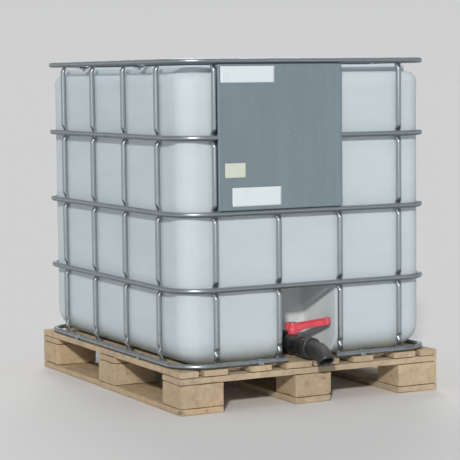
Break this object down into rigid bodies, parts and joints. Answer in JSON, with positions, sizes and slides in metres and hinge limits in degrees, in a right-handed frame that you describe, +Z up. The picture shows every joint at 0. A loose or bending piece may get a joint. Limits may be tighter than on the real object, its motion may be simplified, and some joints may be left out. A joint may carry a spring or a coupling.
{
  "type": "intermediate bulk container",
  "caption": "Rigid bulk liquid container: translucent plastic bottle in a tubular steel cage on a timber pallet, with a lever valve and a screw fill cap.",
  "frame": {"origin": "middle of the pallet's underside, on the centre runner", "axes": "+Z up, -Y towards the valve front, X along the shorter side, +X to the right seen from the front"},
  "size_m": [1, 1.3073, 1.16],
  "materials": {
    "timber": "sawn pine, unfinished",
    "nail_steel": "dull bright wire",
    "galvanised_tube": "galvanised, satin",
    "zinc_fastener": "zinc plated",
    "marking_plate": "galvanised sheet, satin",
    "label_paper": "matt paper",
    "bottle_plastic": "translucent blow-moulded polyethylene",
    "black_plastic": "moulded, slightly glossy",
    "red_plastic": "moulded, glossy",
    "seal_rubber": "matt"
  },
  "bodies": {
    "root": {"runner_left": "timber", "runner_centre": "timber", "runner_right": "timber", "pallet_blocks": "timber", "stringer_front": "timber", "stringer_middle": "timber", "stringer_back": "timber", "deck_board_1": "timber", "deck_board_2": "timber", "deck_board_3": "timber", "deck_board_4": "timber", "deck_board_5": "timber", "deck_board_6": "timber", "deck_board_7": "timber", "deck_board_8": "timber", "pallet_nails": "nail_steel", "ring_bottom": "galvanised_tube", "ring_lower": "galvanised_tube", "ring_middle": "galvanised_tube", "ring_upper": "galvanised_tube", "ring_top": "galvanised_tube", "upright_front_1": "galvanised_tube", "upright_front_2": "galvanised_tube", "upright_front_3": "galvanised_tube", "upright_front_4": "galvanised_tube", "upright_back_1": "galvanised_tube", "upright_back_2": "galvanised_tube", "upright_back_3": "galvanised_tube", "upright_back_4": "galvanised_tube", "upright_left_1": "galvanised_tube", "upright_left_2": "galvanised_tube", "upright_left_3": "galvanised_tube", "upright_left_4": "galvanised_tube", "upright_right_1": "galvanised_tube", "upright_right_2": "galvanised_tube", "upright_right_3": "galvanised_tube", "upright_right_4": "galvanised_tube", "crossbar_front": "galvanised_tube", "crossbar_back": "galvanised_tube", "crossbar_tabs": "galvanised_tube", "rail_clips": "galvanised_tube", "crossbar_bolts": "zinc_fastener", "clip_screws": "zinc_fastener", "plate_rivets": "zinc_fastener", "label_plate": "marking_plate", "labels": "label_paper", "bottle": "bottle_plastic", "valve_body": "black_plastic", "valve_nut": "black_plastic", "valve_seals": "seal_rubber"},
    "lever": {"valve_lever": "red_plastic", "lever_screw": "zinc_fastener", "valve_stem": "black_plastic", "valve_disc": "black_plastic"},
    "cap_carrier": {"cap_gasket": "seal_rubber"},
    "cap": {"fill_cap": "black_plastic"},
    "plug_carrier": {"plug_gasket": "seal_rubber"},
    "plug": {"vent_plug": "black_plastic"},
    "outlet_nut": {"outlet_nut": "black_plastic"},
    "spout": {"spout": "black_plastic"}
  },
  "joints": [
    {"name": "lever_turn", "type": "hinge", "parent": "root", "child": "lever", "pos_m": [0, -0.458, 0.184], "axis": [0, 0, -1], "range_deg": [0, 90]},
    {"name": "cap_lift", "type": "slide", "parent": "root", "child": "cap_carrier", "axis": [0, 0, 1], "range_m": [0, 0.12]},
    {"name": "cap_turn", "type": "hinge", "parent": "cap_carrier", "child": "cap", "pos_m": [0, 0, 1.13], "axis": [0, 0, 1], "range_deg": [0, 1080]},
    {"name": "plug_lift", "type": "slide", "parent": "cap", "child": "plug_carrier", "axis": [0, 0, 1], "range_m": [0, 0.06]},
    {"name": "plug_turn", "type": "hinge", "parent": "plug_carrier", "child": "plug", "pos_m": [0, 0, 1.14], "axis": [0, 0, 1], "range_deg": [0, 1440]},
    {"name": "outlet_nut_turn", "type": "hinge", "parent": "root", "child": "outlet_nut", "pos_m": [0, -0.578, 0.184], "axis": [0, -1, 0], "continuous": true},
    {"name": "spout_swivel", "type": "hinge", "parent": "root", "child": "spout", "pos_m": [0, -0.6, 0.184], "axis": [0, -1, 0], "continuous": true}
  ]
}
